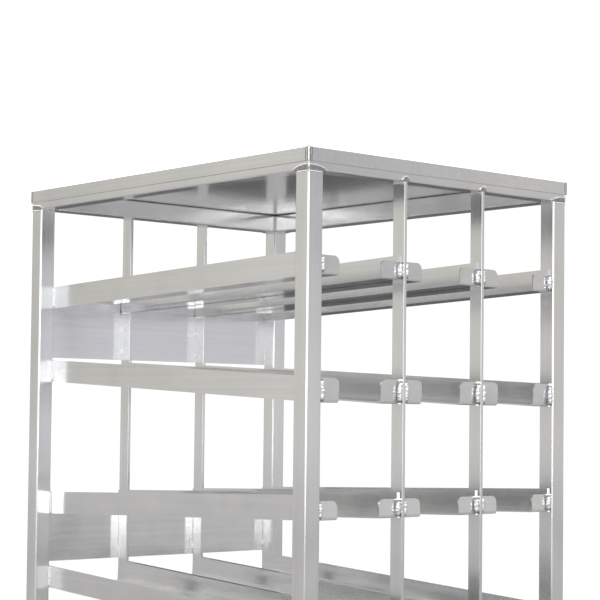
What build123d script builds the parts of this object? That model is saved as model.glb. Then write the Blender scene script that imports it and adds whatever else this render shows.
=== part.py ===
from build123d import *
import math
import os

# Mobile can rack with a worktop: a welded aluminium frame that holds sloping tracks for large
# food cans. Cans go in on an upper track, roll to the back, drop to the track below it and roll
# forward again to the front stops, so the first can in is the first can out.
# Millimetres, +Z up. The origin is on the floor under the middle of the rack.
# -Y is the loading front, +Y the back, -X and +X the sides.

# ---- overall size ----
RACK_WIDTH = 673.0
RACK_DEPTH = 889.0
RACK_HEIGHT = 1060.0

# ---- worktop and the frame under it ----
WORKTOP_OVERHANG = 3.0
WORKTOP_SHEET = 2.0
WORKTOP_EDGE_DROP = 26.0
WORKTOP_CORNER_RADIUS = 4.0
WORKTOP_BEND_RADIUS = 2.5
TOP_FRAME_HEIGHT = 39.0
TUBE_WIDTH = 35.0
TUBE_WALL = 2.5
TUBE_CORNER_RADIUS = 3.5

# ---- uprights ----
UPRIGHT_THICKNESS = 7.0
UPRIGHT_DEPTH = 30.0
UPRIGHT_EDGE_RADIUS = 0.8
BAY_COUNT = 3

# ---- tracks ----
PAIR_COUNT = 2
PAIR_PITCH = 430.0
RAIL_THICKNESS = 3.0
RAIL_WALL_HEIGHT = 45.0
RAIL_SHELF_WIDTH = 48.0
RAIL_FRONT_RECESS = 9.0
UPPER_RAIL_BELOW_TOP = 220.0
LOWER_RAIL_BELOW_TOP = 445.0
UPPER_RAIL_SLOPE = -1.9
LOWER_RAIL_SLOPE = 2.9
UPPER_STOP_HEIGHT = 34.0
LOWER_STOP_HEIGHT = 44.0
STOP_CORNER_RADIUS = 12.0
STOP_BEND_RADIUS = 5.0
CAN_DROP_LENGTH = 175.0

# ---- back plates that guide a can down to the lower track ----
BACK_PLATE_THICKNESS = 2.5
BACK_PLATE_BELOW_UPPER_RAIL = 18.0
BACK_PLATE_ABOVE_LOWER_RAIL = 5.0

# ---- base frame and caster mounting plates ----
BASE_TUBE = 25.0
MOUNT_PLATE_SIZE = 110.0
MOUNT_PLATE_THICKNESS = 8.0
MOUNT_PLATE_CORNER_RADIUS = 8.0

# ---- casters ----
CASTER_HEIGHT = 150.0
CASTER_INSET = 58.0
CASTER_TRAIL = 35.0
CASTER_PLATE_SIZE = 92.0
CASTER_PLATE_THICKNESS = 4.0
CASTER_PLATE_CORNER_RADIUS = 7.0
BOLT_OFFSET = 36.0
BOLT_RADIUS = 4.0
BOLT_HEAD_RADIUS = 7.5
BOLT_HEAD_HEIGHT = 5.3
BOLT_GRIP = 11.0
PLATE_HOLE_RADIUS = 4.5
TAPPED_HOLE_RADIUS = 4.1
UPPER_RACE_RADIUS = 30.0
UPPER_RACE_HEIGHT = 7.0
LOWER_RACE_RADIUS = 27.0
LOWER_RACE_HEIGHT = 2.7
RUNNING_GAP = 0.3
KINGPIN_RADIUS = 6.0
KINGPIN_NUT_RADIUS = 10.0
KINGPIN_NUT_HEIGHT = 4.5
WHEEL_RADIUS = 62.5
TYRE_WIDTH = 32.0
TYRE_INNER_RADIUS = 51.0
TYRE_EDGE_RADIUS = 5.0
RIM_WIDTH = 28.0
RIM_THICKNESS = 7.0
HUB_RADIUS = 14.0
HUB_WIDTH = 40.0
HUB_WEB_THICKNESS = 9.0
AXLE_RADIUS = 5.0
AXLE_RUNNING_CLEARANCE = 0.06
AXLE_HEAD_RADIUS = 9.0
AXLE_HEAD_HEIGHT = 6.0
FORK_SHEET = 3.5
FORK_SLOT = 42.0
FORK_TOP_LENGTH = 60.0
FORK_FOOT_RADIUS = 14.0
BRAKE_PIVOT_FORWARD = 76.0
BRAKE_PIVOT_HEIGHT = 121.0
BRAKE_LUG_RADIUS = 7.0
BRAKE_BARREL_RADIUS = 5.0
BRAKE_BARREL_LENGTH = 40.0
BRAKE_PIN_RADIUS = 3.0
BRAKE_PIN_CLEARANCE = 0.05
BRAKE_TREAD_LENGTH = 34.0
BRAKE_TREAD_WIDTH = 38.0
BRAKE_TREAD_THICKNESS = 3.0
BRAKE_TREAD_RISE = 18.0
BRAKE_SHOE_REACH = 7.8
BRAKE_SHOE_THICKNESS = 5.0
BRAKE_SHOE_WIDTH = 28.0

# ---- derived places ----
HALF_WIDTH = RACK_WIDTH / 2
HALF_DEPTH = RACK_DEPTH / 2
FRAME_TOP = RACK_HEIGHT - WORKTOP_SHEET
FRAME_BOTTOM = FRAME_TOP - TOP_FRAME_HEIGHT
MOUNT_PLATE_TOP = CASTER_HEIGHT + MOUNT_PLATE_THICKNESS
BASE_TOP = MOUNT_PLATE_TOP + BASE_TUBE
POST_CENTRE_X = HALF_WIDTH - TUBE_WIDTH / 2
POST_CENTRE_Y = HALF_DEPTH - TUBE_WIDTH / 2
POST_INNER_X = HALF_WIDTH - TUBE_WIDTH
POST_INNER_Y = HALF_DEPTH - TUBE_WIDTH
BAY_WIDTH = (2 * POST_INNER_X - (BAY_COUNT - 1) * UPRIGHT_THICKNESS) / BAY_COUNT
RAIL_LENGTH = RACK_DEPTH - RAIL_FRONT_RECESS - BACK_PLATE_THICKNESS - 2.0
CASTER_X = HALF_WIDTH - CASTER_INSET
CASTER_Y = HALF_DEPTH - CASTER_INSET

CASTERS = {
    "front_left": (-CASTER_X, -CASTER_Y, 1),
    "front_right": (CASTER_X, -CASTER_Y, 1),
    "back_left": (-CASTER_X, CASTER_Y, -1),
    "back_right": (CASTER_X, CASTER_Y, -1),
}
BRAKED_CASTERS = ("front_left", "front_right")
UPWARD = (Align.CENTER, Align.CENTER, Align.MIN)
OUTWARD = (Align.CENTER, Align.MIN, Align.CENTER)


def save(node, shape):
    export_step(shape, f"parts/{node}.step")


def corner(shape, point):
    """The vertex of a flat shape nearest to a point."""
    return shape.vertices().sort_by_distance(point)[0]


def tube_section(width, height, wall, radius):
    outer = RectangleRounded(width, height, radius)
    inner = RectangleRounded(width - 2 * wall, height - 2 * wall, max(radius - wall, 0.8))
    return outer - inner


def box_between(low, high):
    size = [b - a for a, b in zip(low, high)]
    return Pos(*low) * Box(*size, align=(Align.MIN, Align.MIN, Align.MIN))


# ---- worktop ----

def worktop():
    """One sheet with its four edges turned down and the corners welded shut."""
    width = RACK_WIDTH + 2 * WORKTOP_OVERHANG
    depth = RACK_DEPTH + 2 * WORKTOP_OVERHANG
    inner_radius = WORKTOP_CORNER_RADIUS - WORKTOP_SHEET
    slab = extrude(RectangleRounded(width, depth, WORKTOP_CORNER_RADIUS), WORKTOP_EDGE_DROP)
    slab = fillet(slab.edges().group_by(Axis.Z)[-1], WORKTOP_BEND_RADIUS)
    hollow = RectangleRounded(width - 2 * WORKTOP_SHEET, depth - 2 * WORKTOP_SHEET, inner_radius)
    slab -= extrude(hollow, WORKTOP_EDGE_DROP - WORKTOP_SHEET)
    return Pos(0, 0, RACK_HEIGHT - WORKTOP_EDGE_DROP) * slab


# ---- top frame: four tubes with mitred ends ----

def side_frame_tube(side):
    """A tube along Y under the left (-1) or right (+1) edge of the worktop."""
    section = tube_section(TUBE_WIDTH, TOP_FRAME_HEIGHT, TUBE_WALL, TUBE_CORNER_RADIUS)
    tube = extrude(Plane.XZ * section, HALF_DEPTH, both=True)
    tube = Pos(side * POST_CENTRE_X, 0, FRAME_TOP - TOP_FRAME_HEIGHT / 2) * tube
    outline = Polyline(
        (side * HALF_WIDTH, -HALF_DEPTH),
        (side * POST_INNER_X, -POST_INNER_Y),
        (side * POST_INNER_X, POST_INNER_Y),
        (side * HALF_WIDTH, HALF_DEPTH),
        close=True,
    )
    return tube & extrude(Pos(0, 0, FRAME_TOP) * make_face(outline), TOP_FRAME_HEIGHT, both=True)


def end_frame_tube(end):
    """A tube along X under the front (-1) or back (+1) edge of the worktop."""
    section = tube_section(TUBE_WIDTH, TOP_FRAME_HEIGHT, TUBE_WALL, TUBE_CORNER_RADIUS)
    tube = extrude(Plane.YZ * section, HALF_WIDTH, both=True)
    tube = Pos(0, end * POST_CENTRE_Y, FRAME_TOP - TOP_FRAME_HEIGHT / 2) * tube
    outline = Polyline(
        (-HALF_WIDTH, end * HALF_DEPTH),
        (-POST_INNER_X, end * POST_INNER_Y),
        (POST_INNER_X, end * POST_INNER_Y),
        (HALF_WIDTH, end * HALF_DEPTH),
        close=True,
    )
    return tube & extrude(Pos(0, 0, FRAME_TOP) * make_face(outline), TOP_FRAME_HEIGHT, both=True)


# ---- posts, flat uprights and base frame ----

def post(side, end):
    section = tube_section(TUBE_WIDTH, TUBE_WIDTH, TUBE_WALL, TUBE_CORNER_RADIUS)
    height = FRAME_BOTTOM - MOUNT_PLATE_TOP
    return Pos(side * POST_CENTRE_X, end * POST_CENTRE_Y, MOUNT_PLATE_TOP) * extrude(section, height)


def upright_x(divider):
    """The middle plane of a divider, counted from 1 at the left."""
    return -POST_INNER_X + divider * BAY_WIDTH + (divider - 0.5) * UPRIGHT_THICKNESS


def upright(divider, end):
    """A flat bar on edge; the back ones stand clear of the back plates."""
    section = RectangleRounded(UPRIGHT_THICKNESS, UPRIGHT_DEPTH, UPRIGHT_EDGE_RADIUS)
    setback = 0.0 if end < 0 else BACK_PLATE_THICKNESS
    y = end * (HALF_DEPTH - UPRIGHT_DEPTH / 2 - setback)
    return Pos(upright_x(divider), y, BASE_TOP) * extrude(section, FRAME_BOTTOM - BASE_TOP)


def base_tube_along_x(end):
    section = tube_section(BASE_TUBE, BASE_TUBE, TUBE_WALL, TUBE_CORNER_RADIUS)
    tube = extrude(Plane.YZ * section, POST_INNER_X, both=True)
    return Pos(0, end * (HALF_DEPTH - BASE_TUBE / 2), MOUNT_PLATE_TOP + BASE_TUBE / 2) * tube


def base_tube_along_y(side):
    section = tube_section(BASE_TUBE, BASE_TUBE, TUBE_WALL, TUBE_CORNER_RADIUS)
    tube = extrude(Plane.XZ * section, POST_INNER_Y, both=True)
    return Pos(side * (HALF_WIDTH - BASE_TUBE / 2), 0, MOUNT_PLATE_TOP + BASE_TUBE / 2) * tube


# ---- track rails ----

def shelf_with_stop(stop_height, shelf_length):
    """The level flange of a rail, its front end bent up into a can stop with a round corner."""
    t = RAIL_THICKNESS
    outline = Polyline(
        (0, 0),
        (shelf_length, 0),
        (shelf_length, t),
        (t, t),
        (t, stop_height),
        (0, stop_height),
        close=True,
    )
    strip = make_face(outline)
    strip = fillet(corner(strip, (0, 0)), STOP_BEND_RADIUS)
    strip = fillet(corner(strip, (t, t)), STOP_BEND_RADIUS - t)
    shelf = extrude(Plane.YZ * strip, RAIL_SHELF_WIDTH)
    stop_front = Rectangle(RAIL_SHELF_WIDTH, stop_height, align=(Align.MIN, Align.MIN))
    stop_front = fillet(corner(stop_front, (RAIL_SHELF_WIDTH, stop_height)), STOP_CORNER_RADIUS)
    kept = extrude(Plane.XZ * stop_front, -shelf_length)
    return shelf & kept


def rail(upper):
    """A right-angle rail with its wall on the left at x = 0 and its front end at y = 0."""
    stop_height = UPPER_STOP_HEIGHT if upper else LOWER_STOP_HEIGHT
    shelf_length = RAIL_LENGTH - CAN_DROP_LENGTH if upper else RAIL_LENGTH
    wall = box_between((0, 0, 0), (RAIL_THICKNESS, RAIL_LENGTH, RAIL_WALL_HEIGHT))
    solid = wall + shelf_with_stop(stop_height, shelf_length)
    return Rot(X=UPPER_RAIL_SLOPE if upper else LOWER_RAIL_SLOPE) * solid


def rail_front_height(pair, upper):
    below_top = UPPER_RAIL_BELOW_TOP if upper else LOWER_RAIL_BELOW_TOP
    return RACK_HEIGHT - below_top - pair * PAIR_PITCH


def rail_at(x, hand, pair, upper):
    """A rail whose wall lies at x, with its shelf towards +X (hand 1) or -X (hand -1)."""
    solid = rail(upper)
    if hand < 0:
        solid = mirror(solid, about=Plane.YZ)
    return Pos(x, -HALF_DEPTH + RAIL_FRONT_RECESS, rail_front_height(pair, upper)) * solid


def divider_rails(divider, pair, upper):
    """The two rails on one line of uprights, one for the bay on each side."""
    x = upright_x(divider)
    right_hand = rail_at(x + UPRIGHT_THICKNESS / 2, 1, pair, upper)
    left_hand = rail_at(x - UPRIGHT_THICKNESS / 2, -1, pair, upper)
    return Compound([left_hand.solid(), right_hand.solid()])


def back_plate(pair):
    """A sheet across the back posts, between the upper and lower rails of one pair."""
    rise = RAIL_LENGTH * math.sin(math.radians(LOWER_RAIL_SLOPE))
    fall = RAIL_LENGTH * math.sin(math.radians(-UPPER_RAIL_SLOPE))
    lower_rail_top = rail_front_height(pair, False) + rise + RAIL_WALL_HEIGHT
    upper_rail_top = rail_front_height(pair, True) - fall + RAIL_WALL_HEIGHT
    bottom = lower_rail_top + BACK_PLATE_ABOVE_LOWER_RAIL
    top = upper_rail_top - BACK_PLATE_BELOW_UPPER_RAIL
    low = (-POST_INNER_X, HALF_DEPTH - BACK_PLATE_THICKNESS, bottom)
    high = (POST_INNER_X, HALF_DEPTH, top)
    return box_between(low, high)


# ---- casters, each built with its swivel axis at x = y = 0 and trailing towards +Y ----

def bolt_places():
    return [(x, y) for x in (-BOLT_OFFSET, BOLT_OFFSET) for y in (-BOLT_OFFSET, BOLT_OFFSET)]


def mounting_plate():
    section = RectangleRounded(MOUNT_PLATE_SIZE, MOUNT_PLATE_SIZE, MOUNT_PLATE_CORNER_RADIUS)
    plate = extrude(section, MOUNT_PLATE_THICKNESS)
    for x, y in bolt_places():
        plate -= Pos(x, y, 0) * Cylinder(TAPPED_HOLE_RADIUS, MOUNT_PLATE_THICKNESS, align=UPWARD)
    return Pos(0, 0, CASTER_HEIGHT) * plate


def caster_bolts():
    bolts = []
    for x, y in bolt_places():
        head = extrude(RegularPolygon(BOLT_HEAD_RADIUS, 6), BOLT_HEAD_HEIGHT)
        head = fillet(head.edges().group_by(Axis.Z)[0], 0.6)
        shank = Pos(0, 0, BOLT_HEAD_HEIGHT) * Cylinder(BOLT_RADIUS, BOLT_GRIP, align=UPWARD)
        under_plate = CASTER_HEIGHT - CASTER_PLATE_THICKNESS - BOLT_HEAD_HEIGHT
        bolts.append(Pos(x, y, under_plate) * (head + shank))
    return bolts


def caster_plate():
    """Bolt-on plate with the upper ball race and the kingpin riveted to it."""
    under = CASTER_HEIGHT - CASTER_PLATE_THICKNESS
    section = RectangleRounded(CASTER_PLATE_SIZE, CASTER_PLATE_SIZE, CASTER_PLATE_CORNER_RADIUS)
    plate = Pos(0, 0, under) * extrude(section, CASTER_PLATE_THICKNESS)
    race_bottom = under - UPPER_RACE_HEIGHT
    race = Cylinder(UPPER_RACE_RADIUS, UPPER_RACE_HEIGHT, align=UPWARD)
    race = chamfer(race.edges().group_by(Axis.Z)[0], 2.5)
    plate += Pos(0, 0, race_bottom) * race
    for x, y in bolt_places():
        plate -= Pos(x, y, under) * Cylinder(PLATE_HOLE_RADIUS, CASTER_PLATE_THICKNESS, align=UPWARD)
    nut_top = fork_web_bottom() - RUNNING_GAP
    nut_bottom = nut_top - KINGPIN_NUT_HEIGHT
    pin = Pos(0, 0, nut_bottom) * Cylinder(KINGPIN_RADIUS, race_bottom - nut_bottom + 1.0, align=UPWARD)
    nut = Pos(0, 0, nut_bottom) * extrude(RegularPolygon(KINGPIN_NUT_RADIUS, 6), KINGPIN_NUT_HEIGHT)
    return plate + pin + nut


def fork_web_top():
    race_bottom = CASTER_HEIGHT - CASTER_PLATE_THICKNESS - UPPER_RACE_HEIGHT
    return race_bottom - RUNNING_GAP - LOWER_RACE_HEIGHT


def fork_web_bottom():
    return fork_web_top() - FORK_SHEET


def fork_leg_outline(braked):
    """Side view of a fork leg: local x runs along the trail, local y up."""
    foot = Pos(CASTER_TRAIL, WHEEL_RADIUS) * Circle(FORK_FOOT_RADIUS)
    top_edge = Pos(0, fork_web_top() - 6.0) * Rectangle(FORK_TOP_LENGTH, 12.0)
    leg = make_hull(foot.edges() + top_edge.edges())
    if braked:
        lug = Pos(BRAKE_PIVOT_FORWARD, BRAKE_PIVOT_HEIGHT) * Circle(BRAKE_LUG_RADIUS)
        root = Pos(FORK_TOP_LENGTH / 4, fork_web_top() - 7.0) * Rectangle(FORK_TOP_LENGTH / 2, 14.0)
        leg += make_hull(lug.edges() + root.edges())
    return leg


def fork(braked):
    """A pressed steel fork: two legs and a web under the lower ball race."""
    width = FORK_SLOT + 2 * FORK_SHEET
    outline = fork_leg_outline(braked)
    leg = extrude(Plane.YZ * outline, FORK_SHEET)
    web = RectangleRounded(width, FORK_TOP_LENGTH, 2.0)
    solid = Pos(0, 0, fork_web_bottom()) * extrude(web, FORK_SHEET)
    solid += Pos(FORK_SLOT / 2, 0, 0) * leg
    solid += Pos(-FORK_SLOT / 2 - FORK_SHEET, 0, 0) * leg
    race = Cylinder(LOWER_RACE_RADIUS, LOWER_RACE_HEIGHT, align=UPWARD)
    solid += Pos(0, 0, fork_web_top()) * race
    bore = Cylinder(KINGPIN_RADIUS + BRAKE_PIN_CLEARANCE, 20.0)
    solid -= Pos(0, 0, fork_web_top()) * bore
    axle_hole = Rot(Y=90) * Cylinder(AXLE_RADIUS + AXLE_RUNNING_CLEARANCE, 2 * width)
    solid -= Pos(0, CASTER_TRAIL, WHEEL_RADIUS) * axle_hole
    if braked:
        pin_hole = Rot(Y=90) * Cylinder(BRAKE_PIN_RADIUS + BRAKE_PIN_CLEARANCE, 2 * width)
        solid -= Pos(0, BRAKE_PIVOT_FORWARD, BRAKE_PIVOT_HEIGHT) * pin_hole
    return solid


def on_axle(solid):
    """Turn a wheel part made about Z onto the axle line."""
    return Pos(0, CASTER_TRAIL, WHEEL_RADIUS) * Rot(Y=90) * solid


def wheel_hub():
    boss = Cylinder(HUB_RADIUS, HUB_WIDTH)
    web = Cylinder(TYRE_INNER_RADIUS - RIM_THICKNESS / 2, HUB_WEB_THICKNESS)
    rim = Cylinder(TYRE_INNER_RADIUS, RIM_WIDTH) - Cylinder(TYRE_INNER_RADIUS - RIM_THICKNESS, RIM_WIDTH)
    hub = boss + web + rim
    return on_axle(hub - Cylinder(AXLE_RADIUS + AXLE_RUNNING_CLEARANCE, HUB_WIDTH + 2))


def tyre():
    ring = Cylinder(WHEEL_RADIUS, TYRE_WIDTH)
    ring = fillet(ring.edges().filter_by(GeomType.CIRCLE), TYRE_EDGE_RADIUS)
    return on_axle(ring - Cylinder(TYRE_INNER_RADIUS, TYRE_WIDTH + 2))


def axle():
    """A bolt through both fork legs, with a hexagonal head and nut."""
    reach = FORK_SLOT / 2 + FORK_SHEET
    shaft = Cylinder(AXLE_RADIUS, 2 * reach)
    head = extrude(RegularPolygon(AXLE_HEAD_RADIUS, 6), AXLE_HEAD_HEIGHT)
    return on_axle(shaft + Pos(0, 0, reach) * head + Pos(0, 0, -reach - AXLE_HEAD_HEIGHT) * head)


def brake_pedal():
    """A foot pedal between the fork lugs; pressed down, its shoe meets the tyre."""
    barrel = Rot(Y=90) * Cylinder(BRAKE_BARREL_RADIUS, BRAKE_BARREL_LENGTH)
    pins = Rot(Y=90) * Cylinder(BRAKE_PIN_RADIUS, FORK_SLOT + 2 * FORK_SHEET)
    tread = Box(BRAKE_TREAD_WIDTH, BRAKE_TREAD_LENGTH, BRAKE_TREAD_THICKNESS, align=OUTWARD)
    tread = fillet(tread.edges().filter_by(Axis.Z).group_by(Axis.Y)[-1], 6.0)
    tread = Rot(X=BRAKE_TREAD_RISE) * tread
    shoe_low = (-BRAKE_SHOE_WIDTH / 2, -BRAKE_SHOE_THICKNESS / 2, -BRAKE_SHOE_REACH)
    shoe = box_between(shoe_low, (BRAKE_SHOE_WIDTH / 2, BRAKE_SHOE_THICKNESS / 2, 0))
    return Pos(0, BRAKE_PIVOT_FORWARD, BRAKE_PIVOT_HEIGHT) * (barrel + pins + tread + shoe)


def placed(solid, caster):
    """Move a caster part to its corner; back casters trail towards the front."""
    x, y, trail = CASTERS[caster]
    turn = 0 if trail > 0 else 180
    return Pos(x, y, 0) * Rot(Z=turn) * solid


# ---- write every piece ----

def save_structure():
    save("worktop", worktop())
    save("top_frame_left", side_frame_tube(-1))
    save("top_frame_right", side_frame_tube(1))
    save("top_frame_front", end_frame_tube(-1))
    save("top_frame_back", end_frame_tube(1))
    for end, end_name in ((-1, "front"), (1, "back")):
        save(f"base_tube_{end_name}", base_tube_along_x(end))
        for side, side_name in ((-1, "left"), (1, "right")):
            save(f"post_{end_name}_{side_name}", post(side, end))
        for divider in range(1, BAY_COUNT):
            save(f"upright_{end_name}_{divider}", upright(divider, end))
    save("base_tube_left", base_tube_along_y(-1))
    save("base_tube_right", base_tube_along_y(1))


def save_tracks():
    for pair in range(PAIR_COUNT):
        for upper in (True, False):
            level = 2 * pair + (1 if upper else 2)
            save(f"track_{level}_rail_left", rail_at(-POST_INNER_X, 1, pair, upper))
            save(f"track_{level}_rail_right", rail_at(POST_INNER_X, -1, pair, upper))
            for divider in range(1, BAY_COUNT):
                save(f"track_{level}_rails_divider_{divider}", divider_rails(divider, pair, upper))
        save(f"back_plate_{pair + 1}", back_plate(pair))


def save_casters():
    plates = []
    bolts = []
    for caster in CASTERS:
        braked = caster in BRAKED_CASTERS
        save(f"caster_{caster}_plate", placed(caster_plate(), caster))
        save(f"caster_{caster}_fork", placed(fork(braked), caster))
        save(f"caster_{caster}_hub", placed(wheel_hub(), caster))
        save(f"caster_{caster}_tyre", placed(tyre(), caster))
        save(f"caster_{caster}_axle", placed(axle(), caster))
        if braked:
            save(f"caster_{caster}_brake_pedal", placed(brake_pedal(), caster))
        plates.append(placed(mounting_plate(), caster).solid())
        bolts += [placed(bolt, caster).solid() for bolt in caster_bolts()]
    save("caster_mounting_plates", Compound(plates))
    save("caster_bolts", Compound(bolts))


os.makedirs("parts", exist_ok=True)
save_structure()
save_tracks()
save_casters()
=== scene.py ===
import math
import random
import bmesh
import bpy
from mathutils import Matrix, Vector, noise


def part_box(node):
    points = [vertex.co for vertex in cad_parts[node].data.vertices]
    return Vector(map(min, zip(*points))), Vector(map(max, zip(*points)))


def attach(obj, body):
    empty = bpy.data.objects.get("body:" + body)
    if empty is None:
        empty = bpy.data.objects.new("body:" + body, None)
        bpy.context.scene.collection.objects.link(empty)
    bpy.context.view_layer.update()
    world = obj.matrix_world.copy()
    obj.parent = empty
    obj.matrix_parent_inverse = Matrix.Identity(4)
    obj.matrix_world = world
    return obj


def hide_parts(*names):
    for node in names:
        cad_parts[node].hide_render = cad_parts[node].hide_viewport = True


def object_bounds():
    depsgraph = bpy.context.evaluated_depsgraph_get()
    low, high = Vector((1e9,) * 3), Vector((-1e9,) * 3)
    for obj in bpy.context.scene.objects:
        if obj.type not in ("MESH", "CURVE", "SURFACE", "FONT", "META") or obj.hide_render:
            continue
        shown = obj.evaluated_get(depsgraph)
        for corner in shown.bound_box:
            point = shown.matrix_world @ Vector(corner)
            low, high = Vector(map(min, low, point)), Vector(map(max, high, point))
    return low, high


# Looks for the mobile can rack: mill-finish aluminium, weld beads, casters, studio and camera.
# Metres, in the frame's own axes: -Y is the loading front, +Z is up.

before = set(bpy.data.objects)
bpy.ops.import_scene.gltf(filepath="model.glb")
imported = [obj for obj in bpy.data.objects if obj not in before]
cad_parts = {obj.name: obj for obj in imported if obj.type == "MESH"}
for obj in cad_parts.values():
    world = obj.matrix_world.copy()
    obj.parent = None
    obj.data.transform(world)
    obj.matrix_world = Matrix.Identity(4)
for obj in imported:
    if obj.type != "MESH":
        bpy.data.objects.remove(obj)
CAD_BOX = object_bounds()
RACK = "rack"
CORNERS = ("front_left", "front_right", "back_left", "back_right")
MM = 0.001
UP = (0, 0, 1)
ALONG_X = (1, 0, 0)
ALONG_Y = (0, 1, 0)
RAIL_WALL = 45 * MM
random.seed(11)


# ---- node materials ----

class Nodes:
    """A small helper that adds and links the nodes of one material or world."""

    def __init__(self, owner):
        owner.use_nodes = True
        self.tree = owner.node_tree
        self.tree.nodes.clear()

    def add(self, kind, **settings):
        node = self.tree.nodes.new(kind)
        for name, value in settings.items():
            setattr(node, name, value)
        return node

    def link(self, out_socket, in_socket):
        self.tree.links.new(out_socket, in_socket)

    def noise(self, coords, scale, detail, rough=0.5, stretch=(1.0, 1.0, 1.0)):
        """A noise value; an axis with a small stretch is one the noise is drawn out along."""
        mapping = self.add("ShaderNodeMapping")
        mapping.inputs["Scale"].default_value = stretch
        self.link(coords, mapping.inputs["Vector"])
        texture = self.add("ShaderNodeTexNoise")
        texture.inputs["Scale"].default_value = scale
        texture.inputs["Detail"].default_value = detail
        texture.inputs["Roughness"].default_value = rough
        self.link(mapping.outputs["Vector"], texture.inputs["Vector"])
        return texture.outputs["Fac"]

    def spread(self, value, low, high, start=0.3, end=0.7):
        """Map a value from start..end onto low..high."""
        node = self.add("ShaderNodeMapRange")
        node.inputs["From Min"].default_value = start
        node.inputs["From Max"].default_value = end
        node.inputs["To Min"].default_value = low
        node.inputs["To Max"].default_value = high
        self.link(value, node.inputs["Value"])
        return node.outputs["Result"]

    def math(self, operation, a, b):
        node = self.add("ShaderNodeMath", operation=operation)
        for socket, value in zip(node.inputs, (a, b)):
            if isinstance(value, (int, float)):
                socket.default_value = value
            else:
                self.link(value, socket)
        return node.outputs[0]

    def blend(self, factor, first, second):
        node = self.add("ShaderNodeMix", data_type="RGBA")
        node.inputs["A"].default_value = (*first, 1.0)
        node.inputs["B"].default_value = (*second, 1.0)
        self.link(factor, node.inputs["Factor"])
        return node.outputs["Result"]

    def bump(self, height, strength, distance, normal=None):
        node = self.add("ShaderNodeBump")
        node.inputs["Strength"].default_value = strength
        node.inputs["Distance"].default_value = distance
        self.link(height, node.inputs["Height"])
        if normal is not None:
            self.link(normal, node.inputs["Normal"])
        return node.outputs["Normal"]

    def surface(self, colour, roughness, normal, metallic=1.0):
        """The material's shader and its output."""
        shader = self.add("ShaderNodeBsdfPrincipled")
        shader.inputs["Metallic"].default_value = metallic
        self.link(colour, shader.inputs["Base Color"])
        self.link(roughness, shader.inputs["Roughness"])
        self.link(normal, shader.inputs["Normal"])
        output = self.add("ShaderNodeOutputMaterial")
        self.link(shader.outputs["BSDF"], output.inputs["Surface"])


def new_material(name):
    """A material with no nodes but the one that gives the object's own coordinates."""
    material = bpy.data.materials.new(name)
    nodes = Nodes(material)
    return material, nodes, nodes.add("ShaderNodeTexCoord").outputs["Object"]


def corner_marks(nodes, coords, colour, half):
    """Darken two wavering lines beside each upright corner of a plate of the given half sizes."""
    axes = nodes.add("ShaderNodeSeparateXYZ")
    nodes.link(coords, axes.inputs["Vector"])
    from_x = nodes.math("SUBTRACT", half[0], nodes.math("ABSOLUTE", axes.outputs["X"], 0.0))
    from_y = nodes.math("SUBTRACT", half[1], nodes.math("ABSOLUTE", axes.outputs["Y"], 0.0))
    waver = nodes.noise(coords, scale=140.0, detail=2.0)
    wave = nodes.math("MULTIPLY", nodes.math("SUBTRACT", waver, 0.5), 4.5 * MM)
    distance = nodes.math("ADD", nodes.math("ADD", from_x, from_y), wave)
    inner_line, outer_line = 3.6 * MM, 7.8 * MM
    first = nodes.math("ABSOLUTE", nodes.math("SUBTRACT", distance, inner_line), 0.0)
    second = nodes.math("ABSOLUTE", nodes.math("SUBTRACT", distance, outer_line), 0.0)
    near = nodes.math("MINIMUM", first, second)
    kept = nodes.spread(near, 0.3, 1.0, start=0.4 * MM, end=1.3 * MM)
    scaled = nodes.add("ShaderNodeVectorMath", operation="SCALE")
    nodes.link(colour, scaled.inputs[0])
    nodes.link(kept, scaled.inputs["Scale"])
    return scaled.outputs["Vector"]


STRETCH_ALONG = {"X": (0.004, 1.0, 1.0), "Y": (1.0, 0.004, 1.0), "Z": (1.0, 1.0, 0.004)}
TONE = 0.86
STREAK_BUMP = 0.06


def aluminium(name, grain, roughness, haze=0.05, welded_corners=None):
    """Mill-finish aluminium: fine lines along the grain, faint cloudy haze and handling marks.

    haze is how far the roughness strays from its middle value. welded_corners are the half sizes
    of a plate that is welded at its upright corners.
    """
    material, nodes, coords = new_material(name)
    stretch = STRETCH_ALONG[grain]
    lines = nodes.noise(coords, scale=900.0, detail=3.0, rough=0.6, stretch=stretch)
    bands = nodes.noise(coords, scale=120.0, detail=2.0, stretch=stretch)
    clouds = nodes.noise(coords, scale=9.0, detail=4.0, rough=0.55)
    specks = nodes.noise(coords, scale=420.0, detail=2.0)
    shade = nodes.math("ADD", nodes.math("MULTIPLY", clouds, 0.6), nodes.math("MULTIPLY", bands, 0.4))
    colour = nodes.blend(
        nodes.spread(shade, 0.0, 1.0, start=0.35, end=0.65),
        (TONE * 0.95, TONE * 0.95, TONE * 0.955),
        (TONE * 1.04, TONE * 1.04, TONE * 1.035),
    )
    if welded_corners:
        colour = corner_marks(nodes, coords, colour, welded_corners)
    uneven = nodes.math("ADD", nodes.math("MULTIPLY", lines, 0.5), nodes.math("MULTIPLY", clouds, 0.5))
    dull = nodes.spread(uneven, roughness - haze, roughness + haze, start=0.35, end=0.65)
    normal = nodes.bump(lines, strength=STREAK_BUMP, distance=0.2 * MM)
    normal = nodes.bump(specks, strength=STREAK_BUMP / 2, distance=0.1 * MM, normal=normal)
    nodes.surface(colour, dull, normal)
    return material


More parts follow.
